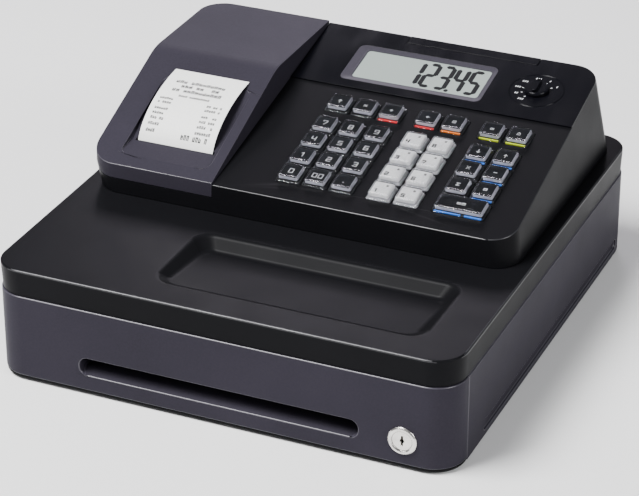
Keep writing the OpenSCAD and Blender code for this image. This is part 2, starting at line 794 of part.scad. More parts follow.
base_pan();
feet();
screws();
cabinet_shell();
top_deck();
console_case();
display_panel();
lcd_module();
main_board();
key_mat();
printer_frame();
cable_gland();
latch_solenoid();
latch_lever();
printer_cover();
receipt();
platen_roller();
paper_roll();
rear_display();
mode_dial();
drawer_tray();
drawer_front();
till_insert();
bill_clips();
lock_barrel();
lock_plug();
for (k = KEYS)
    color(k[1] == 3 || k[1] == 4 ? "#e4e6ea" : "#3a3d45") key_cap(k);
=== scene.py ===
"""Looks of a compact electronic cash register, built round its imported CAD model."""
import json
import math
import random

import bmesh
import bpy
import numpy as np
from mathutils import Matrix, Vector
from mathutils.bvhtree import BVHTree


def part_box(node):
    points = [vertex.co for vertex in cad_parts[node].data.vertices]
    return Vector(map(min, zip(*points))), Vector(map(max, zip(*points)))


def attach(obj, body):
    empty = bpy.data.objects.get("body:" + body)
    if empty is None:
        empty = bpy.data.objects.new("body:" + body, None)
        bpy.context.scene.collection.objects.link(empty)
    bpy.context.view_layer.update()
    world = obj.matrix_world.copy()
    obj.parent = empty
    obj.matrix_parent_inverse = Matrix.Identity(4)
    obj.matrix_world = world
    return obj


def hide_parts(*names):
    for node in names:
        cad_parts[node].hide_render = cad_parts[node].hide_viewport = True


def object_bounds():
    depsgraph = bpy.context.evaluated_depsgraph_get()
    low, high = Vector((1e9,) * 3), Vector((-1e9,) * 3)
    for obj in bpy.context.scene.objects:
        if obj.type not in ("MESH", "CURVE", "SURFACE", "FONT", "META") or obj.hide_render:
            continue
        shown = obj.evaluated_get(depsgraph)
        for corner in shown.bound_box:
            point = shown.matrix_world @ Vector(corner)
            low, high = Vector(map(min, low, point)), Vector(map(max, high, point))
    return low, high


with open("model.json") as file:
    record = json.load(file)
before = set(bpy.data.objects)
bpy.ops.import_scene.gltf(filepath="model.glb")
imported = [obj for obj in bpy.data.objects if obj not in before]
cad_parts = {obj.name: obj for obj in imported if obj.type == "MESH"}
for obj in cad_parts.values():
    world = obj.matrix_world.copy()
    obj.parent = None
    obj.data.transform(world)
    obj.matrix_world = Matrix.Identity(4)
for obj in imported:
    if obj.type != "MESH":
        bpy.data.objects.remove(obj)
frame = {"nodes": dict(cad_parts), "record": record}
cad_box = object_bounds()

MM = 0.001
RECORD = frame["record"]
NODE_BODY = {
    node: body for body, nodes in RECORD["behaviour"]["bodies"].items() for node in nodes
}
NODE_SLOT = {part["node"]: part["material_slot"] for part in RECORD["subparts"]}
SLOT_COLOUR = {entry["slot"]: entry["base_color"][:3] for entry in RECORD["materials"]}
JOINTS = {joint["name"]: joint for joint in RECORD["behaviour"]["joints"]}

# ---- Tilted frame of the console: X across, Y up the slope, Z out of it ----

SLOPE_OUT = Vector(JOINTS["mode_turn"]["axis"])
SLOPE_UP = SLOPE_OUT.cross(Vector((1, 0, 0)))
DIAL_CENTRE = Vector(JOINTS["mode_turn"]["pos_m"])
SLOPE = Matrix((
    (1, 0, 0, 0),
    (0, SLOPE_UP.y, SLOPE_OUT.y, DIAL_CENTRE.y),
    (0, SLOPE_UP.z, SLOPE_OUT.z, DIAL_CENTRE.z),
    (0, 0, 0, 1),
))
TO_SLOPE = SLOPE.inverted()


def slope_box(node):
    """Lowest and highest corners of a CAD node in the tilted frame."""
    points = [TO_SLOPE @ v.co for v in frame["nodes"][node].data.vertices]
    low = Vector([min(p[i] for p in points) for i in range(3)])
    high = Vector([max(p[i] for p in points) for i in range(3)])
    return low, high


# ---- Meshes ----

# A printed mark starts this far below the surface it lies on, and ends this far above it
SINK = 0.1 * MM
FILM = 0.03 * MM


def add_piece(name, mesh, node, materials):
    """Puts a mesh in the scene as a piece that moves with a CAD node's body."""
    for material in materials:
        mesh.materials.append(material)
    piece = bpy.data.objects.new(name, mesh)
    bpy.context.collection.objects.link(piece)
    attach(piece, NODE_BODY[node])
    return piece


def finish_mesh(work, name, sharp=35, to_world=None):
    """Turns a bmesh into a smooth mesh that breaks at edges sharper than so many degrees."""
    bmesh.ops.recalc_face_normals(work, faces=work.faces)
    if to_world:
        work.transform(to_world)
    mesh = bpy.data.meshes.new(name)
    work.to_mesh(mesh)
    work.free()
    mesh.shade_smooth()
    mesh.set_sharp_from_angle(angle=math.radians(sharp))
    return mesh


def node_surface(node, to_frame=Matrix.Identity(4)):
    """Surface of a CAD node, in the world's frame or another, that a ray can be cast at."""
    mesh = frame["nodes"][node].data
    return BVHTree.FromPolygons([to_frame @ v.co for v in mesh.vertices],
                                [tuple(p.vertices) for p in mesh.polygons])


def rounded_ring(width, depth, radius, centre=(0, 0), steps=6):
    """Points of a rectangle with round corners, anticlockwise."""
    points = []
    for i, (sx, sy) in enumerate(((1, 1), (-1, 1), (-1, -1), (1, -1))):
        for k in range(steps + 1):
            angle = math.radians(90 * (i + k / steps))
            points.append((
                centre[0] + sx * (width / 2 - radius) + radius * math.cos(angle),
                centre[1] + sy * (depth / 2 - radius) + radius * math.sin(angle),
            ))
    return points


def loft(work, rings, material_index=0, endless=False):
    """Joins rings of as many points each into a closed skin, with flat ends or with none."""
    rows = [[work.verts.new(p) for p in ring] for ring in rings]
    faces = []
    if endless:
        rows.append(rows[0])
    else:
        faces += [work.faces.new(rows[0][::-1]), work.faces.new(rows[-1])]
    count = len(rows[0])
    for low, high in zip(rows, rows[1:]):
        for i in range(count):
            j = (i + 1) % count
            faces.append(work.faces.new((low[i], low[j], high[j], high[i])))
    for face in faces:
        face.material_index = material_index


def plate(work, outline, low, high, material_index=0):
    """Flat plate between two heights over an outline."""
    loft(work, [[(x, y, z) for x, y in outline] for z in (low, high)], material_index)


def stroke(work, points, width, low, high, material_index=0):
    """Flat line through points, as a row of small plates that meet at square ends."""
    half = width / 2
    for a, b in zip(points, points[1:]):
        along = Vector((b[0] - a[0], b[1] - a[1]))
        along.normalize()
        side = Vector((-along.y, along.x)) * half
        start = Vector(a) - along * half
        end = Vector(b) + along * half
        corners = [start - side, end - side, end + side, start + side]
        plate(work, [tuple(c) for c in corners], low, high, material_index)


def flat_faces(piece):
    """Keeps flat faces flat where they run into rounded edges."""
    weights = piece.modifiers.new("Flat faces", "WEIGHTED_NORMAL")
    weights.keep_sharp = True
    weights.use_face_influence = True


WELD = 0.001 * MM          # corners that are nearer to each other are one corner
FLAT = math.radians(1.5)   # faces that turn by less are one face
CREASE = math.radians(32)  # edges that turn by more are rounded
PROUD = 0.02 * MM          # how far the form may stand in front of a face that counts as outer

# Nodes with so many openings in their faces that only their outer edges are rounded
PIERCED = ("console_case",)


def weigh_outer_edges(work):
    """Marks the sharp edges of the convex outer form for rounding, and no edge of a hole."""
    points = np.array([vertex.co for vertex in work.verts])
    outer = set()
    for face in work.faces:
        beyond = (points - np.array(face.verts[0].co)) @ np.array(face.normal)
        if beyond.max() < PROUD:
            outer.add(face)
    weights = work.edges.layers.float.new("bevel_weight_edge")
    for edge in work.edges:
        if outer.issuperset(edge.link_faces) and edge.calc_face_angle(0) > CREASE:
            edge[weights] = 1


def bevelled(node, width, segments=2):
    """Piece with a CAD node's shape and rounded edges, which stands for the node."""
    name = node + "_skin"
    slot = NODE_SLOT[node]
    pierced = node in PIERCED
    work = bmesh.new()
    work.from_mesh(frame["nodes"][node].data)
    bmesh.ops.remove_doubles(work, verts=work.verts, dist=WELD)
    if pierced:
        work.normal_update()
        weigh_outer_edges(work)
    else:
        bmesh.ops.dissolve_limit(work, angle_limit=FLAT, verts=work.verts, edges=work.edges)
    mesh = finish_mesh(work, name)
    materials = [group[slot] for group in (MATERIALS, WORN_AND_HIGHLIT) if slot in group]
    piece = add_piece(name, mesh, node, materials)
    edge = piece.modifiers.new("Edges", "BEVEL")
    edge.width = width
    edge.segments = segments
    edge.limit_method = "WEIGHT" if pierced else "ANGLE"
    edge.angle_limit = CREASE
    edge.use_clamp_overlap = False
    edge.face_strength_mode = "FSTR_ALL"
    # Rounded edges take the second material, whose paler colour is a painted highlight
    if slot in WORN_AND_HIGHLIT:
        edge.material = 1
    flat_faces(piece)
    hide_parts(node)


# ---- Materials ----

def scaled(colour, factor):
    """Colour made darker or lighter, as an opaque one."""
    return [min(1, c * factor) for c in colour] + [1]


def start_material(name, colour, roughness, **settings):
    """Principled material with plain settings; returns it with its tree and shader."""
    material = bpy.data.materials.new(name)
    material.use_nodes = True
    tree = material.node_tree
    shader = tree.nodes["Principled BSDF"]
    shader.inputs["Base Color"].default_value = scaled(colour, 1)
    shader.inputs["Roughness"].default_value = roughness
    for key, value in settings.items():
        shader.inputs[key.replace("_", " ")].default_value = value
    return material, tree, shader


def noise(tree, scale, detail=3, stretch=(1, 1, 1)):
    """Noise fixed to the object, with a scale in cycles per metre."""
    place = tree.nodes.new("ShaderNodeTexCoord")
    mapping = tree.nodes.new("ShaderNodeMapping")
    mapping.inputs["Scale"].default_value = stretch
    texture = tree.nodes.new("ShaderNodeTexNoise")
    texture.inputs["Scale"].default_value = scale
    texture.inputs["Detail"].default_value = detail
    tree.links.new(place.outputs["Object"], mapping.inputs["Vector"])
    tree.links.new(mapping.outputs["Vector"], texture.inputs["Vector"])
    return texture.outputs["Fac"]


def spread(tree, value, low, high, start=0.3, end=0.7):
    """Maps a value to a range; nearly all of a noise lies between 0.3 and 0.7."""
    node = tree.nodes.new("ShaderNodeMapRange")
    node.inputs["From Min"].default_value = start
    node.inputs["From Max"].default_value = end
    node.inputs["To Min"].default_value = low
    node.inputs["To Max"].default_value = high
    tree.links.new(value, node.inputs["Value"])
    return node.outputs["Result"]


def mix(tree, factor, first, second):
    """Blend of two colours, each a list or a socket."""
    node = tree.nodes.new("ShaderNodeMix")
    node.data_type = "RGBA"
    tree.links.new(factor, node.inputs["Factor"])
    for socket, colour in (("A", first), ("B", second)):
        place = next(s for s in node.inputs if s.name == socket and s.type == "RGBA")
        if isinstance(colour, list):
            place.default_value = colour
        else:
            tree.links.new(colour, place)
    return next(s for s in node.outputs if s.type == "RGBA")


def mottled(tree, pattern, colour, low, high, share=1):
    """Colour that drifts between two strengths of itself as a pattern does."""
    return mix(tree, spread(tree, pattern, 0, share), scaled(colour, low), scaled(colour, high))


def bump(tree, shader, pattern, strength, depth):
    """Fine relief on the surface, whose depth is in metres."""
    node = tree.nodes.new("ShaderNodeBump")
    node.inputs["Strength"].default_value = strength
    node.inputs["Distance"].default_value = depth
    tree.links.new(pattern, node.inputs["Height"])
    tree.links.new(node.outputs["Normal"], shader.inputs["Normal"])


def moulded(slot, roughness, gloss=0.05, tint=1, name=None):
    """Moulded plastic: fine grain, and a slightly uneven tone and gloss."""
    colour = [c * tint for c in SLOT_COLOUR[slot]]
    material, tree, shader = start_material(
        name or slot, colour, roughness, Specular_IOR_Level=gloss)
    clouds = noise(tree, 11)
    specks = noise(tree, 700, detail=1)
    handling = noise(tree, 38, detail=4)
    grain = noise(tree, 1400, detail=2)
    tone = mottled(tree, clouds, colour, 0.9, 1.1)
    speckled = mix(tree, spread(tree, specks, 0, 0.12), tone, scaled(colour, 2))
    sheen = spread(tree, handling, roughness - 0.02, roughness + 0.03)
    tree.links.new(speckled, shader.inputs["Base Color"])
    tree.links.new(sheen, shader.inputs["Roughness"])
    bump(tree, shader, grain, strength=0.25, depth=0.08 * MM)
    return material


def polished(slot, roughness, **settings):
    """Polished plastic: clean gloss with faint wiping marks."""
    colour = SLOT_COLOUR[slot]
    material, tree, shader = start_material(slot, colour, roughness, **settings)
    clouds = noise(tree, 9)
    smears = noise(tree, 55, detail=5, stretch=(1, 0.25, 1))
    ripple = noise(tree, 160, detail=2)
    tree.links.new(mottled(tree, clouds, colour, 0.45, 0.6), shader.inputs["Base Color"])
    tree.links.new(spread(tree, smears, roughness, roughness + 0.09), shader.inputs["Roughness"])
    bump(tree, shader, ripple, strength=0.04, depth=0.1 * MM)
    return material


def metal(slot, roughness, brushed, tarnish=0.75):
    """Bare or plated metal with a brushed or lapped direction and dull patches."""
    colour = SLOT_COLOUR[slot]
    material, tree, shader = start_material(slot, colour, roughness, Metallic=1.0)
    patches = noise(tree, 120, detail=4)
    lines = noise(tree, 900, stretch=brushed)
    sheen = spread(tree, lines, roughness - 0.08, roughness + 0.14)
    tree.links.new(mottled(tree, patches, colour, tarnish, 1.1), shader.inputs["Base Color"])
    tree.links.new(sheen, shader.inputs["Roughness"])
    bump(tree, shader, lines, strength=0.15, depth=0.05 * MM)
    return material


def rubber(slot, roughness):
    """Matt rubber with a thin film of dust."""
    colour = SLOT_COLOUR[slot]
    material, tree, shader = start_material(slot, colour, roughness)
    dust = noise(tree, 60, detail=5)
    grain = noise(tree, 900)
    tree.links.new(mottled(tree, dust, colour, 1, 3, share=0.5), shader.inputs["Base Color"])
    bump(tree, shader, grain, strength=0.3, depth=0.1 * MM)
    return material


def paper(slot):
    """Smooth receipt paper with faint fibres."""
    colour = SLOT_COLOUR[slot]
    material, tree, shader = start_material(slot, colour, 0.55)
    fibres = noise(tree, 900, detail=4, stretch=(1, 0.4, 1))
    waves = noise(tree, 260)
    tree.links.new(mottled(tree, fibres, colour, 0.96, 1.03), shader.inputs["Base Color"])
    bump(tree, shader, waves, strength=0.12, depth=0.1 * MM)
    return material


def circuit_board(slot):
    """Circuit board with paler lines between its fields."""
    colour = SLOT_COLOUR[slot]
    material, tree, shader = start_material(slot, colour, 0.35)
    fields = tree.nodes.new("ShaderNodeTexVoronoi")
    fields.feature = "DISTANCE_TO_EDGE"
    fields.inputs["Scale"].default_value = 220
    lines = spread(tree, fields.outputs["Distance"], 1, 0, start=0.02, end=0.07)
    tone = mix(tree, lines, scaled(colour, 1), scaled(colour, 2.2))
    tree.links.new(tone, shader.inputs["Base Color"])
    return material


def lcd_cell(slot):
    """Grey-green liquid crystal cell under glass."""
    colour = SLOT_COLOUR[slot]
    material, tree, shader = start_material(
        slot, colour, 0.4, Specular_IOR_Level=0.2, Coat_Weight=0.25, Coat_Roughness=0.12)
    clouds = noise(tree, 14)
    specks = noise(tree, 1500, detail=1)
    veil = mottled(tree, clouds, colour, 0.82, 0.9)
    speckled = mix(tree, spread(tree, specks, 0, 0.35), veil, scaled(colour, 0.78))
    tree.links.new(speckled, shader.inputs["Base Color"])
    return material


def clear_plastic():
    """Clear plastic, very slightly blue, with faint moulding ripples."""
    material, tree, shader = start_material(
        "clear_plastic", (0.97, 0.975, 0.99), 0.03, Transmission_Weight=1.0, IOR=1.49)
    smears = noise(tree, 500, detail=2)
    ripple = noise(tree, 240, detail=2)
    tree.links.new(spread(tree, smears, 0.02, 0.07), shader.inputs["Roughness"])
    bump(tree, shader, ripple, strength=0.03, depth=0.1 * MM)
    return material


def flat_print(name, colour, roughness=0.5):
    """Screen-printed ink, a little uneven in tone."""
    material, tree, shader = start_material(name, colour, roughness, Specular_IOR_Level=0.15)
    uneven = mottled(tree, noise(tree, 800), colour, 0.85, 1.1)
    tree.links.new(uneven, shader.inputs["Base Color"])
    return material


MATERIALS = {
    "black_plastic": moulded("black_plastic", 0.36, gloss=0.04, tint=0.6),
    "grey_plastic": moulded("grey_plastic", 0.38, gloss=0.03, tint=1.06),
    "gloss_black": polished("gloss_black", 0.12, Specular_IOR_Level=0.12),
    "base_black": moulded("base_black", 0.5),
    "lcd_cell": lcd_cell("lcd_cell"),
    "rubber_black": rubber("rubber_black", 0.75),
    "silicone_grey": rubber("silicone_grey", 0.6),
    "board_green": circuit_board("board_green"),
    "printer_black": moulded("printer_black", 0.5),
    "paper_white": paper("paper_white"),
    "drawer_plastic": moulded("drawer_plastic", 0.5),
    "till_plastic": moulded("till_plastic", 0.42),
    "spring_steel": metal("spring_steel", 0.28, (1, 0.05, 1)),
    "zinc_steel": metal("zinc_steel", 0.38, (1, 1, 0.1)),
    "nickel": metal("nickel", 0.2, (1, 1, 1), 0.82),
}
MATERIALS["clear_key"] = MATERIALS["clear_white_key"] = clear_plastic()
# Rounded edges, which handling has worn smoother, and whose colour is painted paler than the
# faces as a painted highlight along them
WORN_AND_HIGHLIT = {
    slot: moulded(slot, 0.3, gloss=0.45, tint=1.5, name=slot + "_edge")
    for slot in ("black_plastic", "grey_plastic")
}
INK = {
    "label": flat_print("label_dark", (0.006, 0.007, 0.011), 0.35),
    # Light grey of the dark keys' core is painted light, standing in for light that the clear
    # cap's walls let in
    "core": flat_print("key_core_painted_light", (0.5, 0.5, 0.58), 0.4),
    "foot": flat_print("key_foot", (0.03, 0.031, 0.037), 0.4),
    "white_foot": flat_print("white_foot", (0.5, 0.5, 0.53), 0.4),
    "white_label": flat_print("label_white", (0.95, 0.95, 0.97), 0.4),
    "white": flat_print("print_white", (0.85, 0.86, 0.88)),
    "lcd": flat_print("figure_black", (0.003, 0.0035, 0.004)),
    "red": flat_print("bar_red", (0.72, 0.03, 0.04)),
    "orange": flat_print("bar_orange", (0.85, 0.2, 0.02)),
    "lime": flat_print("bar_lime", (0.5, 0.62, 0.02)),
    "blue": flat_print("bar_blue", (0.04, 0.2, 0.75)),
    "print": flat_print("print_black", (0.008, 0.008, 0.01)),
    "frame": flat_print("frame_grey", (0.034, 0.031, 0.041), 0.4),
}

# ---- Cabinet, console, printer and drawer: CAD shapes with rounded edges ----

# Width of the rounding along each node's edges, in millimetres
EDGE_WIDTH = {
    "base_pan": 0.5, "feet": 0.3, "screws": 0.15, "cabinet_shell": 0.6, "console_case": 0.5,
    "display_panel": 0.25, "printer_frame": 0.3, "cable_gland": 0.3, "latch_solenoid": 0.3,
    "latch_lever": 0.3, "printer_cover": 0.35, "platen_roller": 0.15, "paper_roll": 0.3,
    "rear_display": 0.12, "mode_dial": 0.3, "drawer_tray": 0.5, "drawer_front": 0.7,
    "till_insert": 0.5, "bill_clips": 0.25, "lock_barrel": 0.25, "lock_plug": 0.2,
}
# Thin or hidden nodes, whose edges only have a narrow facet
CRISP = ("lcd_module", "main_board", "key_mat", "receipt")
FACET_WIDTH = 0.05 * MM

for rounded_node, millimetres in EDGE_WIDTH.items():
    bevelled(rounded_node, millimetres * MM)
for crisp_node in CRISP:
    bevelled(crisp_node, FACET_WIDTH, segments=1)

# ---- Deck with its tray ----

CORNER_RADIUS = 22 * MM
CORNER_STEPS = 12
DECK_WALL = 2.6 * MM
DECK_EDGE = 1.3 * MM               # radius of the rounding round the top
SKIRT_DRAFT = 0.9 * MM             # how much narrower the skirt is at its foot, on each side
SKIRT_CHAMFER = 0.3 * MM
TRAY_CENTRE = Vector((38, -114.8)) * MM
TRAY_SIZE = Vector((195, 77)) * MM
TRAY_RADIUS = 13 * MM
TRAY_DEPTHS = (1.6 * MM, 10 * MM)  # at the front and at the back
TRAY_SLOPE = 52                    # degrees that the tray's wall drops at
RIM_RADIUS = 5 * MM
FOOT_RADIUS = 6 * MM


def arc(radius, start, end, steps):
    """Points (x, y) of an arc round the origin, between two angles in degrees from the Y axis."""
    angles = [math.radians(start + (end - start) * i / steps) for i in range(steps + 1)]
    return [(radius * math.sin(a), radius * math.cos(a)) for a in angles]


def tray_wall():
    """Profile of the tray's wall: a soft rim, a steep face and a rounded foot.

    Each point is how far it lies inside the rim and its share of the depth."""
    drop = TRAY_DEPTHS[1]
    rim = [(x, RIM_RADIUS - y) for x, y in arc(RIM_RADIUS, 0, TRAY_SLOPE, 6)]
    foot = [(x, drop - FOOT_RADIUS + y) for x, y in arc(FOOT_RADIUS, TRAY_SLOPE, 0, 6)]
    run = (foot[0][1] - rim[-1][1]) / math.tan(math.radians(TRAY_SLOPE))
    foot_in = rim[-1][0] + run
    low = [(foot_in + foot[0][0] - x, depth) for x, depth in foot]
    return [(inset, depth / drop) for inset, depth in rim + low]


def deck_skin():
    """Deck with its skirt and tray: one closed loft from the tray's underside to its floor."""
    low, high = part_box("top_deck")
    size = high - low
    front, back = (TRAY_CENTRE.y + side * TRAY_SIZE.y / 2 for side in (-1, 1))

    def outline(inset, level):
        """Ring inside the deck's outline."""
        ring = rounded_ring(size.x - 2 * inset, size.y - 2 * inset, CORNER_RADIUS - inset,
                            (0, 0), CORNER_STEPS)
        return [(x, y, level) for x, y in ring]

    def tray(inset, share, under=0):
        """Ring of the tray, whose front wall is half as wide as its other walls."""
        ring = rounded_ring(TRAY_SIZE.x - 2 * inset, TRAY_SIZE.y - 1.5 * inset,
                            TRAY_RADIUS - 0.4 * inset,
                            (TRAY_CENTRE.x, TRAY_CENTRE.y - inset / 4), CORNER_STEPS)
        points = []
        for x, y in ring:
            backwards = (y - front) / (back - front)
            depth = TRAY_DEPTHS[0] + (TRAY_DEPTHS[1] - TRAY_DEPTHS[0]) * backwards
            points.append((x, y, high.z - under - share * depth))
        return points

    # The faces this picks take the edge material, whose paler colour is a painted highlight along
    # the top edge and the skirt's foot
    def worn_and_highlit(face, flat=0.01 * MM):
        """Whether a face is on the top edge, below its flat part, or on the skirt's foot."""
        middle = face.calc_center_median()
        outside = max(abs(middle.x) - size.x / 2, abs(middle.y) - size.y / 2) > -DECK_EDGE
        at_foot = abs(middle.z - low.z) < SKIRT_CHAMFER
        at_top = high.z - DECK_EDGE < middle.z < high.z - flat
        return outside and (at_foot or at_top)

    walls = tray_wall()
    underside = [
        tray(walls[-1][0], 1, DECK_WALL), tray(-DECK_WALL, 0, DECK_WALL),
        outline(DECK_WALL, high.z - DECK_WALL), outline(DECK_WALL, low.z),
    ]
    skirt = [
        outline(SKIRT_DRAFT + SKIRT_CHAMFER, low.z), outline(SKIRT_DRAFT, low.z + SKIRT_CHAMFER),
    ]
    edge = [outline(DECK_EDGE - y, high.z - DECK_EDGE + x) for x, y in arc(DECK_EDGE, 0, 90, 4)]
    hollow = [tray(inset, share) for inset, share in walls]
    work = bmesh.new()
    loft(work, underside + skirt + edge + hollow)
    for face in work.faces:
        face.material_index = int(worn_and_highlit(face))
    mesh = finish_mesh(work, "top_deck_skin", sharp=40)
    piece = add_piece("top_deck_skin", mesh, "top_deck",
                      [MATERIALS["black_plastic"], WORN_AND_HIGHLIT["black_plastic"]])
    flat_faces(piece)
    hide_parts("top_deck")


deck_skin()

# ---- Keys ----

# Colour of the bar at a key's foot
BARS = {
    "key_clear": "red", "key_error_correct": "red", "key_price_lookup": "orange",
    "key_clock": "lime", "key_tax_shift": "lime", "key_received": "blue",
    "key_paid_out": "blue", "key_minus": "blue", "key_charge": "blue", "key_cash": "blue",
}

# Numerals and marks as lines on a grid 2 wide and 4 high
STROKES = {
    "0": [[(0, 0), (0, 4), (2, 4), (2, 0), (0, 0)]],
    "1": [[(0.4, 3.2), (1.2, 4), (1.2, 0)]],
    "2": [[(0, 4), (2, 4), (2, 2), (0, 2), (0, 0), (2, 0)]],
    "3": [[(0, 4), (2, 4), (2, 0), (0, 0)], [(0.5, 2), (2, 2)]],
    "4": [[(0, 4), (0, 1.6), (2, 1.6)], [(2, 4), (2, 0)]],
    "5": [[(2, 4), (0, 4), (0, 2), (2, 2), (2, 0), (0, 0)]],
    "6": [[(2, 4), (0, 4), (0, 0), (2, 0), (2, 2), (0, 2)]],
    "7": [[(0, 3.2), (0, 4), (2, 4), (2, 2.8), (0.9, 0)]],
    "8": [[(0, 0), (0, 4), (2, 4), (2, 0), (0, 0)], [(0, 2), (2, 2)]],
    "9": [[(0, 0), (2, 0), (2, 4), (0, 4), (0, 2), (2, 2)]],
    ".": [[(0.9, 0.3), (1.1, 0.3)]],
    "times": [[(0, 0.8), (2, 3.2)], [(0, 3.2), (2, 0.8)]],
    "minus": [[(0, 2), (2, 2)]],
    "percent": [[(0, 0.4), (2, 3.6)], [(0, 3.6), (0.3, 3.6)], [(1.7, 0.4), (2, 0.4)]],
    "arrow_up": [[(1, 0), (1, 4)], [(0, 2.6), (1, 4), (2, 2.6)]],
    "arrow_down": [[(1, 4), (1, 0)], [(0, 1.4), (1, 0), (2, 1.4)]],
    "arrow_back": [[(2, 2), (0, 2)], [(0.9, 3.2), (0, 2), (0.9, 0.8)]],
    "lines": [[(0, 3.4), (2, 3.4)], [(0, 2), (2, 2)], [(0, 0.6), (2, 0.6)]],
    "clock": [[(0, 1), (0, 3), (2, 3), (2, 1), (0, 1)], [(1, 2.7), (1, 2), (1.6, 2)]],
    "shift": [[(0, 2), (1, 3.6), (2, 2)], [(0, 0.4), (2, 0.4)]],
    "cross": [[(1, 0.8), (1, 3.2)], [(0, 2), (2, 2)]],
    "sum": [[(2, 3.6), (0, 3.6), (1.1, 2), (0, 0.4), (2, 0.4)]],
    "card": [[(0, 0.8), (0, 3.2), (2, 3.2), (2, 0.8), (0, 0.8)], [(0, 2.4), (2, 2.4)]],
    "coin": [[(0, 1), (0, 3), (2, 3), (2, 1), (0, 1)], [(1, 1.6), (1, 2.4)]],
}
# Legends of the keys; a key that isn't here shows the digit that its name ends with
MARKS = {
    "key_feed": ["arrow_up"], "key_multiply": ["times"], "key_clear": ["cross"],
    "key_error_correct": ["arrow_back"], "key_price_lookup": ["lines"], "key_clock": ["clock"],
    "key_tax_shift": ["shift"], "key_received": ["arrow_down"], "key_paid_out": ["arrow_up"],
    "key_percent": ["percent"], "key_minus": ["minus"], "key_subtotal": ["sum"],
    "key_charge": ["card"], "key_00": ["0", "0"], "key_point": ["."],
    "key_cash": ["coin", "card"],
}
CAP_INSET = 0.6 * MM
CAP_CORNER = 1.7 * MM
DOUBLE_WIDTH = 25 * MM     # a key that is wider than this is a double one
LEGEND_RISE = 0.06 * MM    # how far a legend stands proud of its label
# Materials of a key's core and label, in their order on its mesh
FOOT, CORE, LABEL, LEGEND, BAR = range(5)


def draw_marks(work, marks, centre, height, level, width):
    """Draws a row of marks centred on a point, standing a little proud of a level."""
    tall = height / 4
    wide = tall * 1.35
    step = 3.1 * wide
    left = centre[0] - step * (len(marks) - 1) / 2 - wide
    foot = centre[1] - height / 2
    for i, mark in enumerate(marks):
        for line in STROKES[mark]:
            points = [(left + i * step + x * wide, foot + y * tall) for x, y in line]
            stroke(work, points, width, level - SINK, level + LEGEND_RISE, LEGEND)


def key_cap(node, centre, size, top):
    """Clear cap: a thin flat skirt, steep walls and a dished top with a raised rim."""
    # Inset from the skirt and height at each ring, in millimetres
    profile = [
        (0, -1.4), (0, 0.5), (0.1, 0.56), (0.95, 0.6), (1.2, 1.0), (1.55, 4.2), (1.7, 4.52),
        (1.95, 4.6), (2.25, 4.55), (2.7, 4.3), (3.2, 4.22),
    ]
    crest = max(height for _, height in profile)
    rise = top / (crest * MM)
    work = bmesh.new()
    rings = []
    for inset, height in profile:
        inset *= MM
        ring = rounded_ring(size.x - 2 * inset, size.y - 2 * inset,
                            max(CAP_CORNER - inset * 0.4, 0.5 * MM), centre)
        rings.append([(x, y, height * MM * rise) for x, y in ring])
    loft(work, rings)
    mesh = finish_mesh(work, node + "_cap", sharp=50, to_world=SLOPE)
    slot = NODE_SLOT[node]
    piece = add_piece(node + "_cap", mesh, node, [MATERIALS[slot]])
    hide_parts(node)


def inset_plate(work, centre, size, inset, low, high, material_index):
    """Plate with round corners and a softened top edge, smaller than a key all round."""
    corner = 1.1 * MM
    edge = 0.3 * MM
    softening = ((0, low), (0, high - edge), (edge * 0.3, high - edge * 0.3), (edge, high))
    rings = []
    for shrink, level in softening:
        ring = rounded_ring(size.x - 2 * (inset + shrink), size.y - 2 * (inset + shrink),
                            corner, centre, 4)
        rings.append([(x, y, level) for x, y in ring])
    loft(work, rings, material_index)


def colour_bars(work, centre, size):
    """Coloured bar at the front foot of a key; a double key has a long and a short one."""
    width = size.x - 3.4 * MM
    depth = 1.3 * MM
    y = centre[1] - size.y / 2 + 1.15 * MM
    spans = [(0, 1)] if size.x < DOUBLE_WIDTH else [(0, 0.56), (0.64, 1)]
    for start, end in spans:
        x = centre[0] + ((start + end) / 2 - 0.5) * width
        bar = rounded_ring((end - start) * width, depth, 0.4 * MM, (x, y), 2)
        plate(work, bar, -0.2 * MM, 0.75 * MM, BAR)


def white_key_marks(work, digit, centre, level):
    """Digit in the lower left corner of a white label, and short lines in the upper right."""
    digit_place = (centre[0] - 3.2 * MM, centre[1] - 3 * MM)
    lines_place = (centre[0] + 3 * MM, centre[1] + 3.4 * MM)
    draw_marks(work, [digit], digit_place, 3 * MM, level, 0.8 * MM)
    draw_marks(work, ["lines"], lines_place, 1.8 * MM, level, 0.45 * MM)


def dark_key_marks(work, marks, centre, level):
    """Figures or a smaller sign in the middle of a dark label."""
    height = (4.2 if marks[0].isdigit() or marks[0] == "." else 3.2) * MM
    draw_marks(work, marks, centre, height, level, 0.6 * MM)


def key_label(node, centre, size):
    """Core inside the cap, with its dark or white label, legend and colour bar."""
    white = NODE_SLOT[node] == "clear_white_key"
    digit = node[-1]
    waist = 1.5 * MM
    shoulder = 3.6 * MM
    top = shoulder + 0.2 * MM
    work = bmesh.new()
    inset_plate(work, centre, size, 0.6 * MM, -1.3 * MM, 0.1 * MM, FOOT)
    inset_plate(work, centre, size, 2.15 * MM, -0.1 * MM, waist, FOOT)
    # On dark keys this band's light grey is painted light seen through the cap's walls
    inset_plate(work, centre, size, 2.2 * MM, waist - 0.1 * MM, shoulder, CORE)
    inset_plate(work, centre, size, 2.35 * MM, shoulder - 0.2 * MM, top, LABEL)
    if white:
        inks = ["white_foot", "white_label", "white_label", "print"]
        white_key_marks(work, digit, centre, top)
    else:
        inks = ["foot", "core", "label", "white"]
        dark_key_marks(work, MARKS.get(node, [digit]), centre, top)
    if node in BARS:
        colour_bars(work, centre, size)
        inks.append(BARS[node])
    mesh = finish_mesh(work, node + "_label", to_world=SLOPE)
    add_piece(node + "_label", mesh, node, [INK[ink] for ink in inks])


